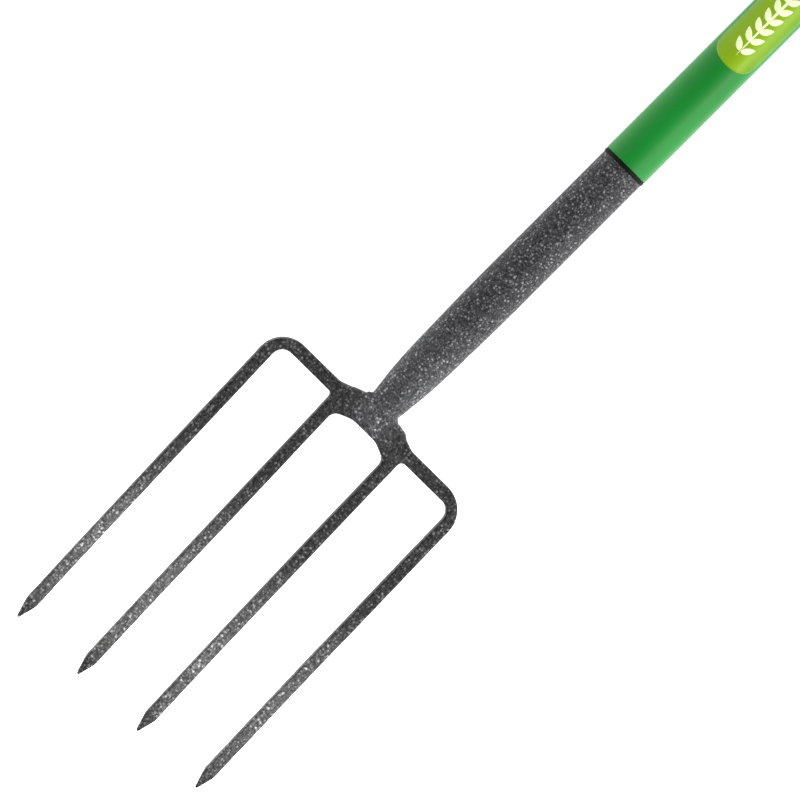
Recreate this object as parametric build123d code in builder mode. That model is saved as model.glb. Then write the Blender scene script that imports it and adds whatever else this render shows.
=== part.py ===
"""Four-tine garden fork (digging and lawn-spiking fork) with a D-grip.

The fork lies on its back. +Y runs along the shaft from the tines to the grip, +X runs across the
head, and +Z points up out of the concave front face. The origin is on the floor, below the middle
of the fork's length. All sizes are in millimetres.

Levels are distances along the shaft from the centre line of the head's crossbar. They are
positive towards the grip, and the planes below carry them into this frame.
"""

import os
from math import asin, degrees

from build123d import *

# ---------------------------------------------------------------- driving dimensions
OVERALL_LENGTH = 1000.0  # tine points to the top of the grip
TINE_REACH = 270.0  # crossbar centre line to the tine points
SLEEVE_RADIUS = 18.6  # the fork rests on its sleeve, so this is the height of the shaft axis too

# fork head, one forging, seen from the front
HEAD_WIDTH = 190.0
TINE_COUNT = 4
TINE_WIDTH = 9.4
TOE_IN = 2.0  # how far each outer point stands in from its root
CROSSBAR_HEIGHT = 10.2
OUTER_BEND_RADIUS = 22.0
INNER_BEND_RADIUS = 9.0
ROOT_RADIUS = 3.6  # on the outer side of each inner tine
ARCH_LEVEL = -8.2  # underside of the crown, between the inner tines
ARCH_HIP_X = 12.0  # the arch slopes down from here
ARCH_SPRING_LEVEL = -14.0  # to the inner tines here
ARCH_HIP_RADIUS = 20.0
ARCH_SPRING_RADIUS = 6.5
SHOULDER_X = 18.5  # the crown slopes from here
SHOULDER_FOOT_X = 36.0  # down to the crossbar here
SHOULDER_RADIUS = 5.0
SHOULDER_FOOT_RADIUS = 12.0
POINT_BLEND_RADIUS = 16.0  # where the point starts to narrow
POINT_LENGTH = 14.0
POINT_WIDTH = 1.8

# fork head, seen from the side
SET_FORWARD = 6.5  # crossbar centre in front of the shaft axis
BAR_DEPTH = 10.5
TINE_DEPTH = 8.4  # of a tine just short of its point
LIFT = 0.158  # forward rise of the straight part of a tine, per unit of length
TIP_LIFT = 0.225  # the same at the point
STRAIGHT_LENGTH = 150.0
POINT_DEPTH = 2.0
CROWN_WIDTH = 24.0  # where the crown meets the underside of the arch
CROWN_EXTRA_DEPTH = 0.8
CROWN_CORNER_RADIUS = 4.5

# tube, from the swaged foot up to the grip, and the tang inside it
TUBE_RADIUS = 18.0
TUBE_WALL = 1.5
FOOT_RADIUS = 12.4
FOOT_LEVEL = 11.5
SWAGE_KNEE = (15.6, 39.0)  # radius and level
SWAGE_BELLY = (17.3, 82.0)
SWAGE_TOP = 125.0
FOOT_SLOPE = 0.11  # how fast the foot widens, per unit of length
TUBE_TOP = 560.0
TANG_RADIUS = 10.8
TANG_END_RADIUS = 7.5
TANG_TOP = 78.0
FIT = 0.1  # gap between parts that slide together
OVERLAP = 1.0  # how far solids of one part run into each other

# weld round the foot, with a lump on each shoulder
WELD_RADIUS = 2.4
WELD_LUMP_X = 21.3
WELD_LUMP_LEVEL = 8.7
WELD_LUMP_LENGTH = 10.0
WELD_LUMP_DEPTH = 8.4
WELD_LUMP_SLOPE = 0.35  # fall towards the tines, per unit of length outwards

# plastic on the shaft
END_RING_WIDTH = 3.3
END_RING_THICKNESS = 0.55
SLEEVE_BOTTOM = 256.5
SLEEVE_BORE_RADIUS = TUBE_RADIUS + 0.05
SLEEVE_CHAMFER = 0.3
LABEL_BOTTOM = 356.0
LABEL_TOP = 528.0
LABEL_HALF_WIDTH = 16.4  # straight across, as seen from the front
LABEL_END_HEIGHT = 12.8
LABEL_THICKNESS = 0.2
LABEL_TURN = -10.0  # degrees round the shaft; the label faces a little to the fork's left

# D-grip
COLLAR_TOP = 592.0
THROAT_TOP = 626.0
THROAT_WIDTH = 44.0
THROAT_EXTRA_DEPTH = 1.0
THROAT_CORNER_RADIUS = 8.0
COLLAR_STEP = 4.0  # the yoke starts this far inside the collar
YOKE_INSET = 2.0  # and this far in from its side
YOKE_FLARE_LENGTH = 12.0
YOKE_FLARE_RADIUS = 12.0
YOKE_SHOULDER_RADIUS = 30.0
YOKE_TOP_RADIUS = 11.0
SPIGOT_LENGTH = 62.0
SPIGOT_BORE_RADIUS = 11.0
YOKE_HALF_DEPTH = 14.0
YOKE_HALF_WIDTH = 62.5
YOKE_SHOULDER_LEVEL = 664.0
HAND_OPENING_X = 46.0
HAND_OPENING_SHOULDER_LEVEL = 672.0
HAND_OPENING_FOOT_X = 21.0
HAND_OPENING_BOTTOM = 636.0
HAND_OPENING_TOP_RADIUS = 3.0
HAND_OPENING_SHOULDER_RADIUS = 22.0
HAND_OPENING_FOOT_RADIUS = 14.0
GRIP_END_RADIUS = 15.6
GRIP_RADIUS = 17.6
GRIP_CORE_RADIUS = 11.5
GROOVE_COUNT = 7
GROOVE_PITCH = 9.5
GROOVE_RADIUS = 1.1

# rivet that holds the grip in the tube, from side to side
RIVET_LEVEL = 536.0
RIVET_RADIUS = 2.5
RIVET_HEAD_RADIUS = 5.0
RIVET_RIM = 0.5  # straight part of a rivet head, below its dome
RIVET_DOME = 2.0
WASHER_RADIUS = 6.2
WASHER_THICKNESS = 1.0
SEAT_DEPTH = 0.9  # how far a rivet head and the washer reach down round the tube

# ---------------------------------------------------------------- derived sizes and planes
AXIS_HEIGHT = SLEEVE_RADIUS
CROSSBAR_Y = TINE_REACH - OVERALL_LENGTH / 2
HANDLE_TOP = OVERALL_LENGTH - TINE_REACH
GRIP_LEVEL = HANDLE_TOP - GRIP_RADIUS
TINE_PITCH = (HEAD_WIDTH - TINE_WIDTH) / (TINE_COUNT - 1)
HALF_BAR = CROSSBAR_HEIGHT / 2
DOME_RADIUS = (RIVET_HEAD_RADIUS**2 + RIVET_DOME**2) / (2 * RIVET_DOME)
DOME_ANGLE = degrees(asin(RIVET_HEAD_RADIUS / DOME_RADIUS))


def front(level):
    """The plane through the shaft axis at a level, facing the front: its y runs up the shaft."""
    return Plane(origin=(0, CROSSBAR_Y + level, AXIS_HEIGHT), x_dir=(1, 0, 0), z_dir=(0, 0, 1))


def side(level):
    """The plane through the shaft axis at a level, facing +X: its x runs up the shaft."""
    return Plane(origin=(0, CROSSBAR_Y + level, AXIS_HEIGHT), x_dir=(0, 1, 0), z_dir=(1, 0, 0))


def across(level):
    """The plane square to the shaft at a level, facing the tines: its y points to the front."""
    return Plane(origin=(0, CROSSBAR_Y + level, AXIS_HEIGHT), x_dir=(1, 0, 0), z_dir=(0, -1, 0))


def cross_axis(level):
    """The axis along +X through the shaft axis at a level."""
    return Axis(origin=(0, CROSSBAR_Y + level, AXIS_HEIGHT), direction=(1, 0, 0))


SHAFT_AXIS = Axis(origin=(0, CROSSBAR_Y, AXIS_HEIGHT), direction=(0, 1, 0))


def tine_corners(half_pitches):
    """Corners of the point of the tine whose root is this many half pitches from the middle,
    from its outer side to its inner side."""
    root = half_pitches * TINE_PITCH / 2
    middle = root - TOE_IN * half_pitches / (TINE_COUNT - 1)
    neck = POINT_LENGTH - TINE_REACH
    return [
        (middle + TINE_WIDTH / 2, neck),
        (middle + POINT_WIDTH / 2, -TINE_REACH),
        (middle - POINT_WIDTH / 2, -TINE_REACH),
        (middle - TINE_WIDTH / 2, neck),
    ]


def tine_rise(distance):
    """How far a tine's centre is in front of the shaft axis, at a distance below the crossbar."""
    curved = max(0.0, distance - STRAIGHT_LENGTH)
    bend = (TIP_LIFT - LIFT) / (TINE_REACH - STRAIGHT_LENGTH)
    return SET_FORWARD + LIFT * distance + bend * curved**2 / 2


def tine_edge(distance, sign):
    """A point of the side view, on the front edge for sign 1 and on the back edge for sign -1."""
    taper = (BAR_DEPTH - TINE_DEPTH) * distance / TINE_REACH
    return (-distance, tine_rise(distance) + sign * (BAR_DEPTH - taper) / 2)


# ---------------------------------------------------------------- fork head
with BuildPart() as fork_head:
    inner_root = TINE_PITCH / 2
    outer_root = TINE_PITCH * (TINE_COUNT - 1) / 2
    point_round = POINT_WIDTH / 3
    point_radii = [POINT_BLEND_RADIUS, point_round, point_round, POINT_BLEND_RADIUS]
    with BuildSketch(front(0)):
        with BuildLine():
            FilletPolyline(
                (0, FOOT_LEVEL),
                (SHOULDER_X, FOOT_LEVEL),
                (SHOULDER_FOOT_X, HALF_BAR),
                (outer_root + TINE_WIDTH / 2, HALF_BAR),
                *tine_corners(3),
                (outer_root - TINE_WIDTH / 2, -HALF_BAR),
                (inner_root + TINE_WIDTH / 2, -HALF_BAR),
                *tine_corners(1),
                (inner_root - TINE_WIDTH / 2, ARCH_SPRING_LEVEL),
                (ARCH_HIP_X, ARCH_LEVEL),
                (0, ARCH_LEVEL),
                radius=[
                    SHOULDER_RADIUS,
                    SHOULDER_FOOT_RADIUS,
                    OUTER_BEND_RADIUS,
                    *point_radii,
                    INNER_BEND_RADIUS,
                    ROOT_RADIUS,
                    *point_radii,
                    ARCH_SPRING_RADIUS,
                    ARCH_HIP_RADIUS,
                ],
            )
            Line((0, ARCH_LEVEL), (0, FOOT_LEVEL))
        make_face()
        mirror(about=Plane.YZ)
    extrude(amount=TINE_REACH, both=True)

    neck = TINE_REACH - POINT_LENGTH
    halfway = (STRAIGHT_LENGTH + neck) / 2
    tip_rise = tine_rise(TINE_REACH)
    with BuildSketch(side(0)):
        with BuildLine():
            Polyline(
                tine_edge(STRAIGHT_LENGTH, 1),
                tine_edge(0, 1),
                (FOOT_LEVEL, SET_FORWARD + BAR_DEPTH / 2),
                (FOOT_LEVEL, SET_FORWARD - BAR_DEPTH / 2),
                tine_edge(0, -1),
                tine_edge(STRAIGHT_LENGTH, -1),
            )
            for sign in (1, -1):
                ThreePointArc(
                    tine_edge(STRAIGHT_LENGTH, sign),
                    tine_edge(halfway, sign),
                    tine_edge(neck, sign),
                )
            Polyline(
                tine_edge(neck, 1),
                (-TINE_REACH, tip_rise + POINT_DEPTH / 2),
                (-TINE_REACH, tip_rise - POINT_DEPTH / 2),
                tine_edge(neck, -1),
            )
        make_face()
    extrude(amount=HEAD_WIDTH, both=True, mode=Mode.INTERSECT)

    # crown: from the round foot of the tube into the crossbar
    with BuildSketch(across(FOOT_LEVEL)):
        Circle(FOOT_RADIUS)
    with BuildSketch(across(ARCH_LEVEL)):
        with Locations((0, tine_rise(-ARCH_LEVEL))):
            RectangleRounded(CROWN_WIDTH, BAR_DEPTH + CROWN_EXTRA_DEPTH, CROWN_CORNER_RADIUS)
    loft()

    # tang inside the tube
    with BuildSketch(front(FOOT_LEVEL)):
        with BuildLine():
            Polyline(
                (0, -OVERLAP),
                (TANG_RADIUS, -OVERLAP),
                (TANG_RADIUS, (TANG_TOP - FOOT_LEVEL) / 2),
                (TANG_END_RADIUS, TANG_TOP - FOOT_LEVEL),
                (0, TANG_TOP - FOOT_LEVEL),
                close=True,
            )
        make_face()
    revolve(axis=SHAFT_AXIS)

# ---------------------------------------------------------------- tube
with BuildPart() as shaft_tube:
    with BuildSketch(front(0)):
        with BuildLine():
            swage = Spline(
                (FOOT_RADIUS, FOOT_LEVEL),
                SWAGE_KNEE,
                SWAGE_BELLY,
                (TUBE_RADIUS, SWAGE_TOP),
                tangents=[(FOOT_SLOPE, 1), (0, 1)],
            )
            inner_swage = Spline(
                (TANG_RADIUS + FIT, FOOT_LEVEL),
                (SWAGE_KNEE[0] - TUBE_WALL, SWAGE_KNEE[1]),
                (SWAGE_BELLY[0] - TUBE_WALL, SWAGE_BELLY[1]),
                (TUBE_RADIUS - TUBE_WALL, SWAGE_TOP),
                tangents=[(FOOT_SLOPE, 1), (0, 1)],
            )
            Line(swage @ 0, inner_swage @ 0)
            Polyline(
                swage @ 1,
                (TUBE_RADIUS, TUBE_TOP),
                (TUBE_RADIUS - TUBE_WALL, TUBE_TOP),
                inner_swage @ 1,
            )
        make_face()
    revolve(axis=SHAFT_AXIS)
    with BuildSketch(side(RIVET_LEVEL)):
        Circle(RIVET_RADIUS + FIT)
    extrude(amount=TUBE_RADIUS, both=True, mode=Mode.SUBTRACT)

# ---------------------------------------------------------------- weld
with BuildPart() as head_weld:
    with BuildSketch(front(FOOT_LEVEL)):
        with Locations((FOOT_RADIUS, 0)):
            Circle(WELD_RADIUS)
    revolve(axis=SHAFT_AXIS)
    for sign in (1, -1):
        bead = Plane(
            origin=(sign * WELD_LUMP_X, CROSSBAR_Y + WELD_LUMP_LEVEL, AXIS_HEIGHT + SET_FORWARD),
            x_dir=(0, 0, 1),
            z_dir=(sign, -WELD_LUMP_SLOPE, 0),
        )
        with BuildSketch(bead.offset(-WELD_LUMP_LENGTH / 2)):
            RectangleRounded(WELD_LUMP_DEPTH, 2 * WELD_RADIUS, WELD_RADIUS - FIT)
        extrude(amount=WELD_LUMP_LENGTH)
    with BuildSketch(across(FOOT_LEVEL)):
        Circle(TANG_RADIUS + OVERLAP)
    extrude(amount=2 * WELD_RADIUS, both=True, mode=Mode.SUBTRACT)
    add(shaft_tube.part, mode=Mode.SUBTRACT)
    add(fork_head.part, mode=Mode.SUBTRACT)

# ---------------------------------------------------------------- plastic on the shaft
with BuildPart() as sleeve_end_ring:
    with BuildSketch(across(SLEEVE_BOTTOM)):
        Circle(TUBE_RADIUS + END_RING_THICKNESS)
        Circle(TUBE_RADIUS + FIT / 2, mode=Mode.SUBTRACT)
    extrude(amount=END_RING_WIDTH)

with BuildPart() as shaft_sleeve:
    with BuildSketch(across(TUBE_TOP)):
        Circle(SLEEVE_RADIUS)
        Circle(SLEEVE_BORE_RADIUS, mode=Mode.SUBTRACT)
    extrude(amount=TUBE_TOP - SLEEVE_BOTTOM - FIT)
    lower_rims = edges().filter_by(GeomType.CIRCLE).group_by(Axis.Y)[0]
    chamfer(lower_rims.sort_by(SortBy.RADIUS)[-1], SLEEVE_CHAMFER)
    with BuildSketch(side(RIVET_LEVEL)):
        Circle(WASHER_RADIUS + 4 * FIT)
    extrude(amount=2 * SLEEVE_RADIUS, both=True, mode=Mode.SUBTRACT)

with BuildPart() as shaft_label:
    with BuildSketch(across(LABEL_TOP)):
        Circle(SLEEVE_RADIUS + LABEL_THICKNESS)
        Circle(SLEEVE_RADIUS, mode=Mode.SUBTRACT)
    extrude(amount=LABEL_TOP - LABEL_BOTTOM)
    with BuildSketch(front(0).rotated((0, LABEL_TURN, 0))):
        with BuildLine():
            lower_end = LABEL_BOTTOM + LABEL_END_HEIGHT
            upper_end = LABEL_TOP - LABEL_END_HEIGHT
            ThreePointArc(
                (-LABEL_HALF_WIDTH, lower_end), (0, LABEL_BOTTOM), (LABEL_HALF_WIDTH, lower_end)
            )
            Line((LABEL_HALF_WIDTH, lower_end), (LABEL_HALF_WIDTH, upper_end))
            ThreePointArc(
                (LABEL_HALF_WIDTH, upper_end), (0, LABEL_TOP), (-LABEL_HALF_WIDTH, upper_end)
            )
            Line((-LABEL_HALF_WIDTH, upper_end), (-LABEL_HALF_WIDTH, lower_end))
        make_face()
    extrude(amount=2 * SLEEVE_RADIUS, mode=Mode.INTERSECT)

# ---------------------------------------------------------------- D-grip
with BuildPart() as handle_body:
    yoke_foot = COLLAR_TOP - COLLAR_STEP
    with BuildSketch(front(0)):
        with BuildLine():
            FilletPolyline(
                (0, yoke_foot),
                (SLEEVE_RADIUS - YOKE_INSET, yoke_foot),
                (SLEEVE_RADIUS - YOKE_INSET / 2, yoke_foot + YOKE_FLARE_LENGTH),
                (YOKE_HALF_WIDTH, YOKE_SHOULDER_LEVEL),
                (YOKE_HALF_WIDTH, HANDLE_TOP),
                (HAND_OPENING_X, HANDLE_TOP),
                (HAND_OPENING_X, HAND_OPENING_SHOULDER_LEVEL),
                (HAND_OPENING_FOOT_X, HAND_OPENING_BOTTOM),
                (0, HAND_OPENING_BOTTOM),
                radius=[
                    0,
                    YOKE_FLARE_RADIUS,
                    YOKE_SHOULDER_RADIUS,
                    YOKE_TOP_RADIUS,
                    HAND_OPENING_TOP_RADIUS,
                    HAND_OPENING_SHOULDER_RADIUS,
                    HAND_OPENING_FOOT_RADIUS,
                ],
            )
            Line((0, HAND_OPENING_BOTTOM), (0, yoke_foot))
        make_face()
        mirror(about=Plane.YZ)
    extrude(amount=2 * SLEEVE_RADIUS, both=True)
    with BuildSketch(side(0)):
        with BuildLine():
            collar_depth = SLEEVE_RADIUS - YOKE_INSET / 2
            Polyline(
                (GRIP_LEVEL, YOKE_HALF_DEPTH),
                (HAND_OPENING_BOTTOM, YOKE_HALF_DEPTH),
                (COLLAR_TOP, collar_depth),
                (yoke_foot - OVERLAP, collar_depth),
                (yoke_foot - OVERLAP, -collar_depth),
                (COLLAR_TOP, -collar_depth),
                (HAND_OPENING_BOTTOM, -YOKE_HALF_DEPTH),
                (GRIP_LEVEL, -YOKE_HALF_DEPTH),
                close=True,
            )
        make_face()
        with Locations((GRIP_LEVEL, 0)):
            Circle(GRIP_END_RADIUS)
    extrude(amount=2 * YOKE_HALF_WIDTH, both=True, mode=Mode.INTERSECT)
    with BuildSketch(across(COLLAR_TOP)):
        Circle(SLEEVE_RADIUS)
    with BuildSketch(across(THROAT_TOP)):
        throat_depth = 2 * YOKE_HALF_DEPTH + THROAT_EXTRA_DEPTH
        RectangleRounded(THROAT_WIDTH, throat_depth, THROAT_CORNER_RADIUS)
    loft()
    with BuildSketch(across(COLLAR_TOP)):
        Circle(SLEEVE_RADIUS)
    extrude(amount=COLLAR_TOP - TUBE_TOP - FIT)
    with BuildSketch(across(TUBE_TOP + OVERLAP)):
        Circle(TUBE_RADIUS - TUBE_WALL - FIT)
        Circle(SPIGOT_BORE_RADIUS, mode=Mode.SUBTRACT)
    extrude(amount=SPIGOT_LENGTH)
    with BuildSketch(side(GRIP_LEVEL)):
        Circle(GRIP_CORE_RADIUS)
    extrude(amount=HAND_OPENING_X + OVERLAP, both=True)
    with BuildSketch(side(RIVET_LEVEL)):
        Circle(RIVET_RADIUS + FIT)
    extrude(amount=TUBE_RADIUS, both=True, mode=Mode.SUBTRACT)

with BuildPart() as grip_cover:
    with BuildSketch(front(GRIP_LEVEL)):
        half_grip = HAND_OPENING_X - FIT
        with BuildLine():
            ThreePointArc((-half_grip, GRIP_END_RADIUS), (0, GRIP_RADIUS), (half_grip, GRIP_END_RADIUS))
            Polyline(
                (half_grip, GRIP_END_RADIUS),
                (half_grip, GRIP_CORE_RADIUS + FIT),
                (-half_grip, GRIP_CORE_RADIUS + FIT),
                (-half_grip, GRIP_END_RADIUS),
            )
        make_face()
        with Locations((0, GRIP_RADIUS)):
            with GridLocations(GROOVE_PITCH, 1, GROOVE_COUNT, 1):
                Circle(GROOVE_RADIUS, mode=Mode.SUBTRACT)
    revolve(axis=cross_axis(GRIP_LEVEL))

# ---------------------------------------------------------------- rivet and washer
with BuildPart() as handle_rivet:
    washer_face = TUBE_RADIUS + WASHER_THICKNESS
    for facing, base, rim in (
        (1, TUBE_RADIUS - SEAT_DEPTH, TUBE_RADIUS + RIVET_RIM),
        (-1, washer_face, washer_face + RIVET_RIM),
    ):
        head = Plane(front(RIVET_LEVEL).origin, x_dir=(facing, 0, 0), z_dir=(0, 0, facing))
        with BuildSketch(head):
            with BuildLine():
                centre = (rim + RIVET_DOME - DOME_RADIUS, 0)
                dome = CenterArc(centre, DOME_RADIUS, 0, DOME_ANGLE)
                Polyline(dome @ 1, (base, RIVET_HEAD_RADIUS), (base, 0), dome @ 0)
            make_face()
        revolve(axis=cross_axis(RIVET_LEVEL))
    with BuildSketch(across(RIVET_LEVEL)):
        Circle(TUBE_RADIUS)
    extrude(amount=2 * RIVET_HEAD_RADIUS, both=True, mode=Mode.SUBTRACT)
    with BuildSketch(side(RIVET_LEVEL)):
        Circle(RIVET_RADIUS)
    extrude(amount=washer_face, both=True)

with BuildPart() as rivet_washer:
    with BuildSketch(front(RIVET_LEVEL)):
        with BuildLine():
            Polyline(
                (-TUBE_RADIUS - WASHER_THICKNESS, RIVET_RADIUS + FIT),
                (-TUBE_RADIUS - WASHER_THICKNESS, WASHER_RADIUS),
                (SEAT_DEPTH - TUBE_RADIUS, WASHER_RADIUS),
                (SEAT_DEPTH - TUBE_RADIUS, RIVET_RADIUS + FIT),
                close=True,
            )
        make_face()
    revolve(axis=cross_axis(RIVET_LEVEL))
    with BuildSketch(across(RIVET_LEVEL)):
        Circle(TUBE_RADIUS)
    extrude(amount=2 * WASHER_RADIUS, both=True, mode=Mode.SUBTRACT)

# ---------------------------------------------------------------- labels and files
PIECES = {
    "fork_head": fork_head,
    "head_weld": head_weld,
    "shaft_tube": shaft_tube,
    "sleeve_end_ring": sleeve_end_ring,
    "shaft_sleeve": shaft_sleeve,
    "shaft_label": shaft_label,
    "handle_body": handle_body,
    "grip_cover": grip_cover,
    "handle_rivet": handle_rivet,
    "rivet_washer": rivet_washer,
}
os.makedirs("parts", exist_ok=True)
for name, piece in PIECES.items():
    piece.part.label = name
    export_step(piece.part, f"parts/{name}.step")
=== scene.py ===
import itertools
import math

import bpy
import numpy as np
from mathutils import Matrix, Vector


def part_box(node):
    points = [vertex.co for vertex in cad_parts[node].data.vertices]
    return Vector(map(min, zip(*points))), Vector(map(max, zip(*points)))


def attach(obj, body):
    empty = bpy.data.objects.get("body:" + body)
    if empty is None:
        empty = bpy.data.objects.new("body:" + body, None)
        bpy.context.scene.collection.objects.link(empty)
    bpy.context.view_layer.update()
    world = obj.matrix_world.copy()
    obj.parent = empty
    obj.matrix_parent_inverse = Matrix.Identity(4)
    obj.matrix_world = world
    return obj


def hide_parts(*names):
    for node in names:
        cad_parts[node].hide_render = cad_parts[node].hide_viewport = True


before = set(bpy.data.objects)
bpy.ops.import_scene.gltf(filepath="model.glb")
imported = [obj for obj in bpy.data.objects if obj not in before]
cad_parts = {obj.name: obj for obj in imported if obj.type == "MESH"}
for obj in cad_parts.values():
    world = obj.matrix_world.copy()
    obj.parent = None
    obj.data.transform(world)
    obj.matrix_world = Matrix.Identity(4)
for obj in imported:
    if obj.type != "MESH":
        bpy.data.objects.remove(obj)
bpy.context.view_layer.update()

MM = 0.001

# ---------------------------------------------------------------- places, read from the frame
TUBE_LOW, TUBE_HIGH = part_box("shaft_tube")
SLEEVE_LOW, SLEEVE_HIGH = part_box("shaft_sleeve")
LABEL_LOW, LABEL_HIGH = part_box("shaft_label")
RING_LOW, RING_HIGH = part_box("sleeve_end_ring")
GRIP_LOW, GRIP_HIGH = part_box("grip_cover")

AXIS_Z = (TUBE_LOW.z + TUBE_HIGH.z) / 2
TUBE_R = (TUBE_HIGH.x - TUBE_LOW.x) / 2
SLEEVE_R = (SLEEVE_HIGH.x - SLEEVE_LOW.x) / 2
FOOT_Y = TUBE_LOW.y
FOOT_LEVEL = 11.5 * MM  # the foot of the tube, above the crossbar's centre line
CROSSBAR_Y = FOOT_Y - FOOT_LEVEL
TIP_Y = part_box("fork_head")[0].y
GRIP_Y = (GRIP_LOW.y + GRIP_HIGH.y) / 2
GRIP_R = (GRIP_HIGH.z - GRIP_LOW.z) / 2
LABEL_R = LABEL_HIGH.z - AXIS_Z
LABEL_LEFT = math.asin(LABEL_LOW.x / LABEL_R)  # angles round the shaft, from straight ahead
LABEL_RIGHT = math.asin(LABEL_HIGH.x / LABEL_R)
LABEL_TURN = (LABEL_LEFT + LABEL_RIGHT) / 2

# local z along the shaft towards the grip, local x towards the front
SHAFT_FRAME = Matrix(((0, 1, 0, 0), (0, 0, 1, 0), (1, 0, 0, AXIS_Z), (0, 0, 0, 1)))
# local z along +X, through the middle of the grip
GRIP_FRAME = Matrix(((0, 0, 1, 0), (1, 0, 0, GRIP_Y), (0, 1, 0, AXIS_Z), (0, 0, 0, 1)))


# ---------------------------------------------------------------- node material helpers
class Nodes:
    """A short way to write a node tree: each call adds one node and returns its main output.
    An input called _0 is the node's first socket; other inputs go by the socket's name."""

    def __init__(self, name):
        self.material = bpy.data.materials.new(name)
        self.material.use_nodes = True
        self.tree = self.material.node_tree
        self.shader = self.tree.nodes["Principled BSDF"]

    def link(self, value, socket):
        if isinstance(value, bpy.types.NodeSocket):
            self.tree.links.new(value, socket)
        else:
            socket.default_value = value

    def add(self, kind, output=0, options=(), **inputs):
        node = self.tree.nodes.new(kind)
        for key, value in dict(options).items():
            setattr(node, key, value)
        for key, value in inputs.items():
            index = int(key[1:]) if key[0] == "_" else key.replace("_", " ")
            self.link(value, node.inputs[index])
        return node.outputs[output]

    def place(self):
        """The point in the piece's own frame, which is the fork's."""
        return self.add("ShaderNodeTexCoord", output=3)

    def math(self, operation, a, b=0.0, clamp=False):
        options = {"operation": operation, "use_clamp": clamp}
        return self.add("ShaderNodeMath", options=options, _0=a, _1=b)

    def noise(self, vector, scale, detail=2.0, rough=0.5):
        return self.add(
            "ShaderNodeTexNoise", Vector=vector, Scale=scale, Detail=detail, Roughness=rough
        )

    def cells(self, vector, scale, feature="F1", output=0):
        options = {"feature": feature}
        return self.add(
            "ShaderNodeTexVoronoi", output=output, options=options, Vector=vector, Scale=scale
        )

    def span(self, value, low, high, to_low=0.0, to_high=1.0):
        """Maps low..high to to_low..to_high, smoothly and clamped."""
        options = {"interpolation_type": "SMOOTHSTEP"}
        return self.add(
            "ShaderNodeMapRange", options=options, _0=value, _1=low, _2=high, _3=to_low, _4=to_high
        )

    def mix(self, factor, a, b):
        node = self.tree.nodes.new("ShaderNodeMix")
        node.data_type = "RGBA"
        self.link(factor, node.inputs[0])
        self.link(a, node.inputs[6])
        self.link(b, node.inputs[7])
        return node.outputs[2]

    def bump(self, height, strength, distance):
        node = self.tree.nodes.new("ShaderNodeBump")
        node.inputs["Strength"].default_value = strength
        node.inputs["Distance"].default_value = distance
        self.link(height, node.inputs["Height"])
        return node.outputs[0]

    def surface(self, **values):
        for key, value in values.items():
            self.link(value, self.shader.inputs[key.replace("_", " ")])
        return self.material


def srgb(red, green, blue):
    """A linear colour from screen values of 0 to 255."""
    channels = [c / 255 for c in (red, green, blue)]
    linear = [c / 12.92 if c <= 0.04045 else ((c + 0.055) / 1.055) ** 2.4 for c in channels]
    return (*linear, 1.0)


# ---------------------------------------------------------------- materials
def hammertone(name, dark, light, cell, foot, reach):
    """Hammered enamel: pale flake in small grains and dots over a dark, faintly mottled ground.
    The coat is painted paler within reach of a place on the foot of the tube: a painted highlight
    where light falls on the crown and the tube's foot."""
    n = Nodes(name)
    place = n.place()
    coarse = n.noise(place, 1.5 / cell, detail=1.0)
    worms = n.noise(place, 2.4 / cell, detail=2.0, rough=0.6)
    cloud = n.noise(place, 0.08 / cell, detail=2.0)
    mottle = n.math("ADD", n.math("MULTIPLY", coarse, 0.4), n.math("MULTIPLY", worms, 0.6))
    tone = n.span(mottle, 0.38, 0.66)
    tone = n.math("MULTIPLY", tone, n.span(cloud, 0.3, 0.7, 0.8, 1.1))

    def grains(scale, brightest):
        """Round dots, each of its own brightness; about a third of the cells stay dark."""
        dot = n.span(n.cells(place, scale / cell), 0.12, 0.5, 1.0, 0.0)
        chance = n.add("ShaderNodeSeparateColor", _0=n.cells(place, scale / cell, output=1))
        return n.math("MULTIPLY", dot, n.span(chance, 0.3, brightest))

    grain = n.math("ADD", grains(1.35, 1.0), n.math("MULTIPLY", grains(2.1, 0.9), 0.6))
    shown = n.math("MULTIPLY", grain, 0.95)
    flake = n.math("ADD", n.math("MULTIPLY", tone, 0.2), shown, clamp=True)
    height = n.math("ADD", mottle, n.math("MULTIPLY", grain, 0.12))
    tint = n.mix(flake, dark, light)
    options = {"operation": "DISTANCE"}
    away = n.add("ShaderNodeVectorMath", output=1, options=options, _0=place, _1=foot)
    # painted highlight: paler flake colours towards the place on the foot, for light on the crown
    # and the tube's foot
    painted_highlight = n.mix(flake, (0.025, 0.025, 0.027, 1), (0.36, 0.36, 0.37, 1))
    tint = n.mix(n.span(away, reach / 4, reach, 1.0, 0.0), tint, painted_highlight)
    return n.surface(
        Base_Color=tint,
        Metallic=n.span(flake, 0.3, 0.9, 0.0, 0.7),
        Roughness=n.span(flake, 0.0, 0.8, 0.55, 0.47),
        Specular_IOR_Level=0.25,
        Normal=n.bump(height, 0.9, 0.0011),
    )


def sleeve_plastic():
    """Satin green sleeve with faint draw lines along the shaft and small shade changes."""
    n = Nodes("sleeve_green")
    place = n.place()
    along = n.add("ShaderNodeMapping", Vector=place, Scale=(1.0, 0.03, 1.0))
    lines = n.noise(along, 900.0, detail=3.0)
    cloud = n.noise(place, 22.0, detail=2.0)
    grain = n.noise(place, 1500.0, detail=2.0)
    shade = n.math("ADD", n.math("MULTIPLY", cloud, 0.7), n.math("MULTIPLY", lines, 0.3))
    height = n.math("ADD", n.math("MULTIPLY", lines, 0.6), n.math("MULTIPLY", grain, 0.4))
    return n.surface(
        Base_Color=n.mix(n.span(shade, 0.3, 0.7), (0.0, 0.185, 0.014, 1), (0.0, 0.215, 0.02, 1)),
        Roughness=n.span(grain, 0.3, 0.7, 0.36, 0.44),
        Specular_IOR_Level=0.3,
        Normal=n.bump(height, 0.12, 0.00008),
    )


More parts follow.
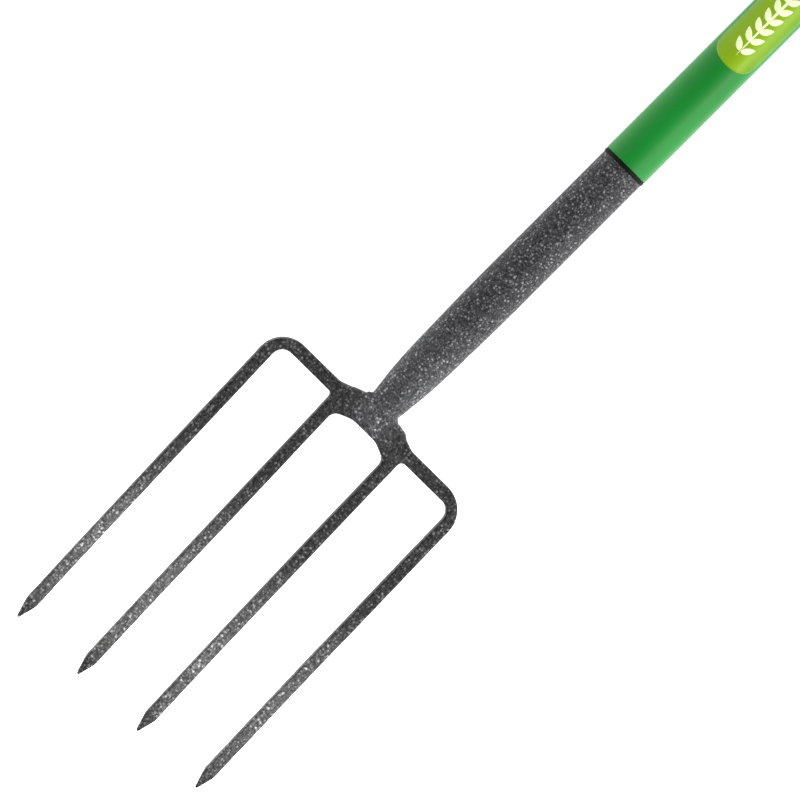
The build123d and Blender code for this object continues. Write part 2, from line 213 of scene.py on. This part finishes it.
def label_film():
    """Lime film with a fine screen of dots, painted darker olive towards its edges as painted shade
    where the film turns away round the sleeve.
    """
    n = Nodes("label_lime")
    place = n.place()
    split = n.add("ShaderNodeSeparateXYZ", _0=place)
    middle = n.math("SUBTRACT", split, SLEEVE_R * math.sin(LABEL_TURN))
    edge = n.math("MULTIPLY", n.math("ABSOLUTE", middle), 1 / (SLEEVE_R * 0.9))
    dots = n.cells(place, 1600.0)
    cloud = n.noise(place, 60.0)
    centre = n.mix(n.span(dots, 0.2, 0.5), (0.24, 0.4, 0.002, 1), (0.21, 0.37, 0.002, 1))
    # painted shade: darker olive towards the film's edges, where it turns away round the sleeve
    rim = n.mix(n.span(cloud, 0.3, 0.7), (0.1, 0.25, 0.003, 1), (0.13, 0.28, 0.004, 1))
    return n.surface(
        Base_Color=n.mix(n.span(edge, 0.5, 1.0), centre, rim),
        Roughness=n.span(cloud, 0.3, 0.7, 0.26, 0.36),
        Normal=n.bump(cloud, 0.15, 0.00005),
        Specular_IOR_Level=0.22,
    )


def emblem_print():
    """Pale printing ink."""
    n = Nodes("emblem_pale")
    cloud = n.noise(n.place(), 700.0)
    tint = n.mix(n.span(cloud, 0.35, 0.65), srgb(240, 250, 205), srgb(226, 240, 180))
    return n.surface(Base_Color=tint, Roughness=0.35, Coat_Weight=0.1, Coat_Roughness=0.1)


def rubber(name, base, worn, scale, depth, gloss=0.5):
    """Fine-grained black rubber or soft moulding, a little paler where it is worn."""
    n = Nodes(name)
    place = n.place()
    grain = n.noise(place, scale, detail=3.0)
    wear = n.noise(place, scale / 30, detail=3.0)
    return n.surface(
        Base_Color=n.mix(n.span(wear, 0.4, 0.75), base, worn),
        Roughness=n.span(wear, 0.3, 0.7, 0.5, 0.66),
        Specular_IOR_Level=gloss,
        Normal=n.bump(grain, 0.35, depth),
    )


def moulded_plastic(name, base, other):
    """Polypropylene with a spark-eroded mould texture and slight flow marks."""
    n = Nodes(name)
    place = n.place()
    pits = n.cells(place, 1400.0, feature="SMOOTH_F1")
    flow = n.noise(place, 30.0, detail=3.0)
    return n.surface(
        Base_Color=n.mix(n.span(flow, 0.35, 0.65), base, other),
        Roughness=n.span(flow, 0.3, 0.7, 0.42, 0.55),
        Normal=n.bump(pits, 0.25, 0.0001),
    )


def plated_steel():
    """Bright zinc with fine brushing."""
    n = Nodes("plated_steel")
    place = n.place()
    brush = n.noise(place, 900.0, detail=4.0)
    tint = n.mix(n.span(brush, 0.3, 0.7), (0.5, 0.5, 0.51, 1), (0.62, 0.62, 0.63, 1))
    return n.surface(
        Base_Color=tint,
        Metallic=1.0,
        Roughness=n.span(brush, 0.3, 0.7, 0.28, 0.42),
        Normal=n.bump(brush, 0.15, 0.00005),
    )


def floor_paint():
    """Pale studio floor, lit from inside a little so that it stays even and nearly shadowless."""
    n = Nodes("studio_floor")
    cloud = n.noise(n.place(), 3.0)
    tint = n.mix(n.span(cloud, 0.3, 0.7), (0.88, 0.88, 0.88, 1), (0.9, 0.9, 0.9, 1))
    return n.surface(
        Base_Color=tint,
        Roughness=0.9,
        Specular_IOR_Level=0.0,
        Emission_Color=(1, 1, 1, 1),
        Emission_Strength=0.9,
    )


# The head's copy of the hammertone is painted darker than the tube's, though both carry the same
# enamel: painted shade on the head.
HEAD_PAINT = hammertone(
    "head_hammertone",
    (0.002, 0.002, 0.002, 1),
    (0.17, 0.169, 0.169, 1),
    3.7 * MM,
    # centre and reach of the painted highlight on the crown
    foot=(0, FOOT_Y - 3 * MM, AXIS_Z + 8 * MM),
    reach=29 * MM,
)
TUBE_PAINT = hammertone(
    "tube_hammertone",
    (0.006, 0.006, 0.008, 1),
    (0.27, 0.27, 0.28, 1),
    3.2 * MM,
    # centre and reach of the painted highlight on the tube's foot
    foot=(6 * MM, FOOT_Y + 20 * MM, AXIS_Z + 16 * MM),
    reach=75 * MM,
)
SLEEVE_GREEN = sleeve_plastic()
LABEL_LIME = label_film()
EMBLEM_PALE = emblem_print()
RING_BLACK = rubber("ring_black", srgb(4, 8, 5), srgb(14, 20, 16), 2500.0, 0.00005, gloss=0.12)
GRIP_BLACK = rubber("grip_black", srgb(24, 25, 26), srgb(46, 47, 48), 2200.0, 0.00012)
HANDLE_GREEN = moulded_plastic("handle_green", srgb(6, 112, 42), srgb(10, 122, 48))
STEEL = plated_steel()


# ---------------------------------------------------------------- mesh helpers
def lathe(profile, segments, place):
    """Points and faces of a closed ring of revolution: profile is a loop of (radius, station)."""
    turns = np.linspace(0, 2 * math.pi, segments, endpoint=False)
    radius, station = np.array(profile).T
    x = np.outer(np.cos(turns), radius)
    y = np.outer(np.sin(turns), radius)
    z = np.outer(np.ones(segments), station)
    points = np.stack([x, y, z], axis=-1).reshape(-1, 3)
    count = len(profile)
    ring = np.arange(segments)[:, None] * count
    after = np.roll(ring, -1, axis=0)
    step = np.arange(count)[None, :]
    onward = (step + 1) % count
    faces = np.stack([ring + step, after + step, after + onward, ring + onward], axis=-1)
    matrix = np.array(place)
    return points @ matrix[:3, :3].T + matrix[:3, 3], faces.reshape(-1, 4)


def arc(centre, radius, start, end, count=8):
    """Profile points along an arc; angles in degrees from the +radius direction."""
    angles = np.radians(np.linspace(start, end, count))
    return [(centre[0] + radius * math.cos(a), centre[1] + radius * math.sin(a)) for a in angles]


def evaluated(source, name):
    """A new mesh with the object's modifiers applied; the object itself is removed."""
    graph = bpy.context.evaluated_depsgraph_get()
    mesh = bpy.data.meshes.new_from_object(source.evaluated_get(graph))
    mesh.name = name
    bpy.data.objects.remove(source)
    return mesh


def remeshed(name, meshes, voxel):
    """One closed skin round closed meshes, as a mesh datablock."""
    joined = bpy.data.meshes.new(name)
    points, faces, offset = [], [], 0
    for mesh in meshes:
        points += [tuple(v.co) for v in mesh.vertices]
        faces += [tuple(i + offset for i in p.vertices) for p in mesh.polygons]
        offset += len(mesh.vertices)
    joined.from_pydata(points, [], faces)
    carrier = bpy.data.objects.new(name, joined)
    bpy.context.scene.collection.objects.link(carrier)
    skin = carrier.modifiers.new("skin", "REMESH")
    skin.mode = "VOXEL"
    skin.voxel_size = voxel
    return evaluated(carrier, name)


def arrays(mesh):
    """A mesh's points and edges as arrays."""
    points = np.empty(len(mesh.vertices) * 3)
    mesh.vertices.foreach_get("co", points)
    edges = np.empty(len(mesh.edges) * 2, int)
    mesh.edges.foreach_get("vertices", edges)
    return points.reshape(-1, 3), edges.reshape(-1, 2)


def reshape(mesh, points):
    mesh.vertices.foreach_set("co", points.ravel())
    mesh.update()


def push(mesh, distance):
    """Moves each point along its normal."""
    points, _ = arrays(mesh)
    out = np.empty(len(mesh.vertices) * 3)
    mesh.vertices.foreach_get("normal", out)
    reshape(mesh, points + out.reshape(-1, 3) * distance[:, None])


def relax(mesh, rounds, weight=1.0):
    """Laplacian smoothing: each point moves towards the middle of its neighbours."""
    points, edges = arrays(mesh)
    count = np.bincount(edges.ravel(), minlength=len(points))[:, None]
    weight = 0.5 * np.broadcast_to(weight, len(points))[:, None]
    for _ in range(rounds):
        total = np.zeros_like(points)
        for axis in range(3):
            total[:, axis] = np.bincount(edges[:, 0], points[edges[:, 1], axis], len(points))
            total[:, axis] += np.bincount(edges[:, 1], points[edges[:, 0], axis], len(points))
        points += weight * (total / np.maximum(count, 1) - points)
    reshape(mesh, points)


def smoothstep(value, low, high):
    share = np.clip((value - low) / (high - low), 0, 1)
    return share * share * (3 - 2 * share)


def lattice_noise(points, size, seed):
    """Smooth noise from -1 to 1 over points, with features about size across."""
    scaled = points / size
    base = np.floor(scaled).astype(np.int64)
    part = scaled - base
    part = part * part * (3 - 2 * part)
    total = np.zeros(len(points))
    for dx in (0, 1):
        for dy in (0, 1):
            for dz in (0, 1):
                key = (base[:, 0] + dx) * 73856093
                key ^= (base[:, 1] + dy) * 19349663
                key ^= (base[:, 2] + dz) * 83492791
                key ^= seed * 2654435761
                key = (key ^ (key >> 13)) * 1274126177 & 0xFFFFFFFF
                key = key ^ (key >> 16)
                value = (key & 0xFFFF) / 32767.5 - 1
                share = np.where(dx, part[:, 0], 1 - part[:, 0])
                share = share * np.where(dy, part[:, 1], 1 - part[:, 1])
                share = share * np.where(dz, part[:, 2], 1 - part[:, 2])
                total += value * share
    return total


def hammer(mesh, depth, size, seed):
    """Shallow inward dents over a painted mesh, at the size of the enamel's cells."""
    dent = 0.5 + 0.5 * lattice_noise(arrays(mesh)[0], size, seed)
    push(mesh, -depth * dent)


def adopt(name, mesh, material, slot, *nodes):
    """Turns a finished mesh into a smooth piece that rides on the fork and stands for CAD nodes."""
    mesh.name = name
    mesh.materials.clear()
    mesh.materials.append(material)
    mesh.shade_smooth()
    made = bpy.data.objects.new(name, mesh)
    bpy.context.scene.collection.objects.link(made)
    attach(made, "root")
    if nodes:
        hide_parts(*nodes)
    return made


def piece(name, points, faces, material, slot, *nodes):
    """The same, from points and faces."""
    mesh = bpy.data.meshes.new(name)
    mesh.from_pydata([tuple(p) for p in points], [], [tuple(f) for f in faces])
    mesh.validate()
    return adopt(name, mesh, material, slot, *nodes)


# ---------------------------------------------------------------- fork head
HEAD_VOXEL = 0.79 * MM
HEAD_EASING = 7
HEAD_DENT = 0.07 * MM
HEAD_DENT_SIZE = 1.9 * MM


def fork_head():
    """The forging: the CAD head's skin with its edges forged round, then dented as painted.
    The points of the tines are eased less, so that they stay sharp."""
    mesh = remeshed("fork_head_skin", [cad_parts["fork_head"].data], HEAD_VOXEL)
    points, _ = arrays(mesh)
    behind_tip = smoothstep(points[:, 1], TIP_Y + 1.5 * MM, TIP_Y + 16 * MM)
    relax(mesh, HEAD_EASING, weight=0.15 + 0.85 * behind_tip)
    hammer(mesh, HEAD_DENT, HEAD_DENT_SIZE, 3)
    return adopt("fork_head_forging", mesh, HEAD_PAINT, "head_paint", "fork_head")


# ---------------------------------------------------------------- tube
TUBE_DENT = 0.06 * MM
TUBE_DENT_SIZE = 1.7 * MM


def tube_radius_at(stations):
    """The CAD tube's outer radius where planes square to the shaft cut its mesh."""
    points, edges = arrays(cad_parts["shaft_tube"].data)
    start, end = points[edges[:, 0]], points[edges[:, 1]]
    run = end[:, 1] - start[:, 1]
    found = []
    for station in stations:
        share = (station - start[:, 1]) / np.where(run == 0, 1, run)
        cut = (run != 0) & (share >= 0) & (share <= 1)
        hits = start[cut] + (end[cut] - start[cut]) * share[cut, None]
        found.append(np.hypot(hits[:, 0], hits[:, 2] - AXIS_Z).max())
    return np.array(found)


def shaft_tube():
    """The swaged tube, finely stepped and dented where it is bare and plain under the sleeve."""
    wall = 1.5 * MM
    covered = SLEEVE_LOW.y + 4 * MM
    stations = np.arange(FOOT_Y + 0.01 * MM, covered, 0.8 * MM)
    radius = tube_radius_at(stations)
    outer = list(zip(radius, stations))
    outer += [(TUBE_R, y) for y in np.linspace(covered, TUBE_HIGH.y, 8)]
    bore = [(r - wall, y) for r, y in reversed(outer[::6] + outer[-1:])]
    points, faces = lathe(outer + bore, 150, SHAFT_FRAME)
    made = piece("shaft_tube_painted", points, faces, TUBE_PAINT, "tube_paint", "shaft_tube")
    hammer(made.data, TUBE_DENT, TUBE_DENT_SIZE, 5)
    return made


# ---------------------------------------------------------------- plastic on the shaft
def shaft_sleeve():
    """The sleeve with a small round on both ends."""
    low, high = SLEEVE_LOW.y, SLEEVE_HIGH.y
    bore = TUBE_R + 0.05 * MM
    lip = 0.22 * MM
    profile = arc((SLEEVE_R - lip, low + lip), lip, 270, 360, 6)
    profile += [(SLEEVE_R, y) for y in np.linspace(low + 1 * MM, high - 1 * MM, 60)]
    profile += arc((SLEEVE_R - lip, high - lip), lip, 0, 90, 6)
    profile += [(bore, high), (bore, low)]
    points, faces = lathe(profile, 160, SHAFT_FRAME)
    return piece("shaft_sleeve_skin", points, faces, SLEEVE_GREEN, "sleeve_plastic", "shaft_sleeve")


def end_ring():
    """The ring below the sleeve, with a bulged outside."""
    low, high = RING_LOW.y, RING_HIGH.y
    outer = (RING_HIGH.x - RING_LOW.x) / 2
    bore = TUBE_R - 0.05 * MM
    profile = [(bore, low)]
    profile += [
        (bore + (outer - bore) * math.sin(math.pi * share) ** 0.5, low + (high - low) * share)
        for share in np.linspace(0.04, 0.96, 14)
    ]
    profile += [(bore, high)]
    points, faces = lathe(profile, 160, SHAFT_FRAME)
    # a thin black ring between the sleeve's lower end and the bare tube
    return piece("sleeve_black_end_ring", points, faces, RING_BLACK, "ring_rubber", "sleeve_end_ring")


LABEL_FILM = 0.12 * MM  # thickness of the film
LABEL_RIM = 0.06 * MM  # and at its edge
LABEL_SINK = 0.05 * MM  # how far its underside lies in the sleeve
LABEL_END = 13 * MM  # height of its round ends


def rim_faces(first, rows, width):
    """Faces between the rims of two layers of points, each rows by width, that follow on."""
    last = first + (rows - 1) * width
    rim = list(range(first, first + width))
    rim += range(first + 2 * width - 1, last + width, width)
    rim += range(last + width - 2, last - 1, -1)
    rim += range(last - width, first, -width)
    layer = rows * width
    return [(a, b, b + layer, a + layer) for a, b in zip(rim, rim[1:] + rim[:1])]


def on_sleeve(around, along, height):
    """A point above the sleeve: around is arc length from the label's middle line."""
    angle = LABEL_TURN + around / SLEEVE_R
    radius = SLEEVE_R + height
    return (radius * math.sin(angle), along, AXIS_Z + radius * math.cos(angle))


def shaft_label():
    """The film: two layers of points, round at both ends, joined along the rim."""
    half = SLEEVE_R * (LABEL_RIGHT - LABEL_LEFT) / 2
    low, high = LABEL_LOW.y, LABEL_HIGH.y
    rows, columns = 110, 48
    points = []
    for height in (LABEL_FILM, -LABEL_SINK):
        for row in range(rows + 1):
            for column in range(columns + 1):
                u = 2 * column / columns - 1
                drop = LABEL_END * (1 - math.sqrt(max(0.0, 1 - u * u)))
                along = low + drop + (high - low - 2 * drop) * row / rows
                inside = 0 < row < rows and abs(u) < 1
                lift = height if inside else min(height, LABEL_RIM)
                points.append(on_sleeve(u * half, along, lift))
    faces = []
    width = columns + 1
    layer = (rows + 1) * width
    for row in range(rows):
        for column in range(columns):
            a = row * width + column
            quad = (a, a + 1, a + width + 1, a + width)
            faces.append(quad[::-1])
            faces.append(tuple(i + layer for i in quad))
    faces += rim_faces(0, rows + 1, width)
    return piece("shaft_label_film", points, faces, LABEL_LIME, "label_film", "shaft_label")


# ---------------------------------------------------------------- emblem on the label
LEAF_PAIRS = 13
LEAF_PITCH = 9.5 * MM
LEAF_REACH = 8.0 * MM  # of the lowest pair, to each side of the stem


def emblem():
    """A pale printed sprig: a stem along the shaft with leaves in pairs."""
    top = LABEL_R - SLEEVE_R
    low = LABEL_LOW.y + 9 * MM
    points, faces = [], []

    def blade(tip_around, tip_along, root_around, root_along, breadth):
        """One leaf from root to tip, in rows of points that follow the sleeve's curve."""
        steps, sides = 14, (-1, -0.5, 0, 0.5, 1)
        run = Vector((tip_around - root_around, tip_along - root_along))
        aside = Vector((-run.y, run.x)).normalized()
        first, width = len(points), len(sides)
        for lift in (top - 0.01 * MM, top - 0.1 * MM):
            for step in range(steps + 1):
                share = step / steps
                half = 0.02 * MM
                if 0 < step < steps:
                    half = breadth / 2 * math.sin(math.pi * share**0.8) ** 0.8
                middle = Vector((root_around, root_along)) + run * share
                for side in sides:
                    spot = middle + aside * half * side
                    points.append(on_sleeve(spot.x, spot.y, lift))
        layer = width * (steps + 1)
        for step in range(steps):
            for side in range(width - 1):
                a = first + width * step + side
                quad = (a, a + 1, a + width + 1, a + width)
                faces.append(quad)
                faces.append(tuple(i + layer for i in quad[::-1]))
        faces.extend(rim[::-1] for rim in rim_faces(first, steps + 1, width))

    blade(0, low + LEAF_PITCH * (LEAF_PAIRS + 1.2), 0, low, 2.0 * MM)
    for pair in range(LEAF_PAIRS):
        root = low + LEAF_PITCH * (pair + 0.5)
        reach = LEAF_REACH * (1 - 0.02 * pair)
        for side in (-1, 1):
            blade(side * reach, root + 8 * MM, side * 0.8 * MM, root, 4.8 * MM)
    return piece("label_sprig_print", points, faces, EMBLEM_PALE, "label_film")


# ---------------------------------------------------------------- weld
WELD_REACH = 29 * MM  # half the width of the skin
WELD_VOXEL = 0.55 * MM
WELD_EASING = 26
WELD_RIPPLE = 1.1 * MM
WELD_SINK = 0.12 * MM  # how far the skin lies inside the metal elsewhere
LEFT_FILL_X = -13.8 * MM


def clipped(name, node, low, high):
    """A copy of a CAD mesh, cut to a box."""
    corners = list(itertools.product(*zip(low, high)))
    quads = [(0, 1, 3, 2), (4, 6, 7, 5), (0, 4, 5, 1), (2, 3, 7, 6), (0, 2, 6, 4), (1, 5, 7, 3)]
    box_mesh = bpy.data.meshes.new(name + "_box")
    box_mesh.from_pydata(corners, [], quads)
    box = bpy.data.objects.new(name + "_box", box_mesh)
    carrier = bpy.data.objects.new(name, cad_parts[node].data.copy())
    for made in (box, carrier):
        bpy.context.scene.collection.objects.link(made)
    cut = carrier.modifiers.new("cut", "BOOLEAN")
    cut.operation = "INTERSECT"
    cut.object = box
    cut.solver = "EXACT"
    result = evaluated(carrier, name)
    bpy.data.objects.remove(box)
    return result


def ball(name, centre, radius):
    """A small closed ball mesh, as filler for a remeshed skin."""
    turns, rows = 16, 8
    x, y, z = centre
    points = [(x, y, z - radius), (x, y, z + radius)]
    for row in range(1, rows):
        tilt = math.pi * row / rows
        reach, level = radius * math.sin(tilt), z - radius * math.cos(tilt)
        for turn in range(turns):
            angle = 2 * math.pi * turn / turns
            points.append((x + reach * math.cos(angle), y + reach * math.sin(angle), level))
    faces = []
    last = 2 + (rows - 2) * turns
    for turn in range(turns):
        after = (turn + 1) % turns
        faces.append((0, 2 + after, 2 + turn))
        faces.append((1, last + turn, last + after))
        for row in range(rows - 2):
            a = 2 + row * turns
            faces.append((a + turn, a + after, a + after + turns, a + turn + turns))
    mesh = bpy.data.meshes.new(name)
    mesh.from_pydata(points, [], faces)
    return mesh


def head_weld():
    """The weld: a skin over the foot, crown and beads that shows only where it fills a corner.
    Two balls fill the corner on the left, and the right shoulder is rippled like a bead."""
    low = (-WELD_REACH, CROSSBAR_Y - 3 * MM, 0.0)
    high = (WELD_REACH, FOOT_Y + 16 * MM, 60 * MM)
    parts = [clipped(f"weld_{node}", node, low, high) for node in ("fork_head", "shaft_tube")]
    parts.append(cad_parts["head_weld"].data)
    for name, along, level, radius in (
        ("left_fill", 0.6 * MM, 3 * MM, 3.2 * MM),
        ("left_fill_back", 0.5 * MM, -1 * MM, 3.0 * MM),
    ):
        parts.append(ball(name, (LEFT_FILL_X, FOOT_Y + along, AXIS_Z + level), radius))
    mesh = remeshed("weld_skin", parts, WELD_VOXEL)
    relax(mesh, WELD_EASING)
    points, _ = arrays(mesh)
    ripple = 0.5 + 0.5 * lattice_noise(points, 3.2 * MM, 11)
    bead = smoothstep(points[:, 0], 11 * MM, 15 * MM)
    bead *= smoothstep(-points[:, 0], -27 * MM, -23 * MM)
    bead *= smoothstep(points[:, 1], CROSSBAR_Y + 4 * MM, CROSSBAR_Y + 8 * MM)
    push(mesh, WELD_RIPPLE * ripple * bead - WELD_SINK)
    hammer(mesh, HEAD_DENT, HEAD_DENT_SIZE, 7)
    return adopt("head_weld_bead", mesh, HEAD_PAINT, "head_paint", "head_weld")


# ---------------------------------------------------------------- D-grip
HANDLE_VOXEL = 0.95 * MM
HANDLE_EASING = 14
SEAM_HEIGHT = 0.18 * MM
GRIP_END_R = 15.6 * MM
GRIP_BORE_R = 11.6 * MM
GROOVE_PITCH = 9.5 * MM
GROOVE_DEPTH = 1.1 * MM


def handle_body():
    """The moulding: the CAD grip with its edges eased and a fine seam round the yoke."""
    mesh = remeshed("handle_skin", [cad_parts["handle_body"].data], HANDLE_VOXEL)
    relax(mesh, HANDLE_EASING)
    points, _ = arrays(mesh)
    seam = np.abs(points[:, 2] - AXIS_Z) < 0.55 * MM
    yoke = np.abs(points[:, 0]) > 15 * MM
    push(mesh, SEAM_HEIGHT * (seam & yoke))
    return adopt("handle_moulding", mesh, HANDLE_GREEN, "handle_plastic", "handle_body")


def grip_cover():
    """The soft cover: barrel-shaped, with grooves, round the core bar."""
    half = (GRIP_HIGH.x - GRIP_LOW.x) / 2
    end = half - 0.8 * MM
    stations = np.linspace(-end, end, 260)
    swell = GRIP_END_R + (GRIP_R - GRIP_END_R) * (1 - (stations / half) ** 2)
    nearest = GROOVE_PITCH * np.clip(np.round(stations / GROOVE_PITCH), -3, 3)
    groove = GROOVE_DEPTH * np.exp(-(((stations - nearest) / (0.8 * MM)) ** 2))
    profile = [(GRIP_END_R - 0.8 * MM, -half)]
    profile += zip(np.minimum(swell, GRIP_R) - groove, stations)
    profile += [(GRIP_END_R - 0.8 * MM, half), (GRIP_BORE_R, half), (GRIP_BORE_R, -half)]
    points, faces = lathe(profile, 128, GRIP_FRAME)
    return piece("grip_soft_cover", points, faces, GRIP_BLACK, "grip_rubber", "grip_cover")


def soft_copy(name, node, voxel, rounds, material, slot):
    """A CAD part's own shape with its edges eased."""
    mesh = remeshed(name, [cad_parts[node].data], voxel)
    relax(mesh, rounds)
    return adopt(name, mesh, material, slot, node)


# ---------------------------------------------------------------- stage, light and camera
KEY_POWER = 22
KEY_SIZE = (1.0, 1.4)
TINE_SPOTS = ((-90, 280), (-30, 190), (30, 175), (90, 280))  # mm from the middle, and power
SPOT_STAND = Vector((0.3, 1.05, 1.1))  # from the place that a spot lamp lights to the lamp
SKY_CEILING = 0.43
SKY_WALLS = 0.75
SKY_SIDE = 1.0
VIEW_SPAN = 569.5 * MM  # width of the view at the shaft
VIEW_DISTANCE = 4.0
VIEW_SIDE = math.radians(10.0)  # the camera stands this far towards the fork's left
VIEW_UP = math.radians(2.5)  # and this far towards the grip
VIEW_LEVEL = 25.0 * MM  # the view's centre, above the crossbar along the shaft
VIEW_OFFSET = 4.6 * MM  # and to the right of the shaft's axis


def area_light(name, place, aim, size, power):
    lamp = bpy.data.lights.new(name, "AREA")
    lamp.shape = "RECTANGLE"
    lamp.size, lamp.size_y = size
    lamp.energy = power
    made = bpy.data.objects.new(name, lamp)
    made.location = place
    made.rotation_euler = (Vector(aim) - Vector(place)).to_track_quat("-Z", "Y").to_euler()
    bpy.context.scene.collection.objects.link(made)


def tine_spot(aim, power):
    """A small soft pool of light on the lower third of a tine, from over the grip."""
    lamp = bpy.data.lights.new("tine_spot", "SPOT")
    lamp.energy = power
    lamp.spot_size = math.radians(6.0)
    lamp.spot_blend = 1.0
    lamp.shadow_soft_size = 0.04
    made = bpy.data.objects.new("tine_spot", lamp)
    made.location = aim + SPOT_STAND
    made.rotation_euler = (aim - made.location).to_track_quat("-Z", "Y").to_euler()
    bpy.context.scene.collection.objects.link(made)


def soft_sky(world):
    """A studio with a darker ceiling, pale walls and one broad bright side, to the fork's right."""
    nodes, links = world.node_tree.nodes, world.node_tree.links
    towards = nodes.new("ShaderNodeTexCoord").outputs["Generated"]

    def glow(direction, low, high, strength):
        side = nodes.new("ShaderNodeVectorMath")
        side.operation = "DOT_PRODUCT"
        side.inputs[1].default_value = Vector(direction).normalized()
        bright = nodes.new("ShaderNodeMapRange")
        bright.interpolation_type = "SMOOTHSTEP"
        for index, value in enumerate((low, high, 0.0, strength), 1):
            bright.inputs[index].default_value = value
        links.new(towards, side.inputs[0])
        links.new(side.outputs["Value"], bright.inputs[0])
        return bright.outputs[0]

    def total(a, b):
        add = nodes.new("ShaderNodeMath")
        for socket, value in zip(add.inputs, (a, b)):
            if isinstance(value, float):
                socket.default_value = value
            else:
                links.new(value, socket)
        return add.outputs[0]

    walls = glow((0, 0, -1), -0.97, -0.3, SKY_WALLS)
    side = glow((0.85, 0.3, 0.42), 0.35, 0.95, SKY_SIDE)
    nodes["Background"].inputs[0].default_value = (1, 1, 1, 1)
    links.new(total(total(walls, side), SKY_CEILING), nodes["Background"].inputs[1])


def studio():
    """A pale floor under a soft sky, with one broad key light and a small one on each tine."""
    mesh = bpy.data.meshes.new("studio_floor")
    reach, level = 6.0, -0.2 * MM
    corners = ((-reach, -reach), (reach, -reach), (reach, reach), (-reach, reach))
    mesh.from_pydata([(x, y, level) for x, y in corners], [], [(0, 1, 2, 3)])
    mesh.materials.append(floor_paint())
    floor = bpy.data.objects.new("studio_floor", mesh)
    bpy.context.scene.collection.objects.link(floor)
    world = bpy.data.worlds.new("studio_world")
    world.use_nodes = True
    soft_sky(world)
    bpy.context.scene.world = world
    area_light("key", (1.5, 0.7, 1.3), (0, -0.1, 0), KEY_SIZE, KEY_POWER)
    for x, power in TINE_SPOTS:
        tine_spot(Vector((x * MM, TIP_Y + 70 * MM, 55 * MM)), power)
    bpy.context.scene.view_settings.view_transform = "Standard"


def camera():
    """Looks down on the front of the fork from afar, with the shaft up to the right."""
    lens = bpy.data.cameras.new("camera")
    lens.sensor_width = 36.0
    lens.lens = lens.sensor_width * VIEW_DISTANCE / VIEW_SPAN
    lens.clip_end = 50.0
    back = Vector((-math.sin(VIEW_SIDE), math.sin(VIEW_UP), 1.0))
    back.z = math.sqrt(max(0.0, 1 - back.x**2 - back.y**2))
    along = Vector((0, 1, 0)) - back * back.y
    along.normalize()
    aside = along.cross(back)
    right = (along + aside).normalized()
    up = (along - aside).normalized()
    target = Vector((0, CROSSBAR_Y + VIEW_LEVEL, AXIS_Z)) + aside * VIEW_OFFSET
    made = bpy.data.objects.new("camera", lens)
    turn = Matrix((right, up, back)).transposed().to_4x4()
    made.matrix_world = Matrix.Translation(target + back * VIEW_DISTANCE) @ turn
    bpy.context.scene.collection.objects.link(made)
    bpy.context.scene.camera = made


studio()
camera()
fork_head()
head_weld()
shaft_tube()
shaft_sleeve()
end_ring()
shaft_label()
emblem()
handle_body()
grip_cover()
soft_copy("handle_rivet_eased", "handle_rivet", 0.3 * MM, 3, STEEL, "rivet_steel")
soft_copy("rivet_washer_eased", "rivet_washer", 0.16 * MM, 3, STEEL, "rivet_steel")

CAD_PAINTS = {
    "fork_head": HEAD_PAINT,
    "head_weld": HEAD_PAINT,
    "shaft_tube": TUBE_PAINT,
    "sleeve_end_ring": RING_BLACK,
    "shaft_sleeve": SLEEVE_GREEN,
    "shaft_label": LABEL_LIME,
    "handle_body": HANDLE_GREEN,
    "grip_cover": GRIP_BLACK,
    "handle_rivet": STEEL,
    "rivet_washer": STEEL,
}
for node, paint in CAD_PAINTS.items():
    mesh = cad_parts[node].data
    mesh.materials.clear()
    mesh.materials.append(paint)
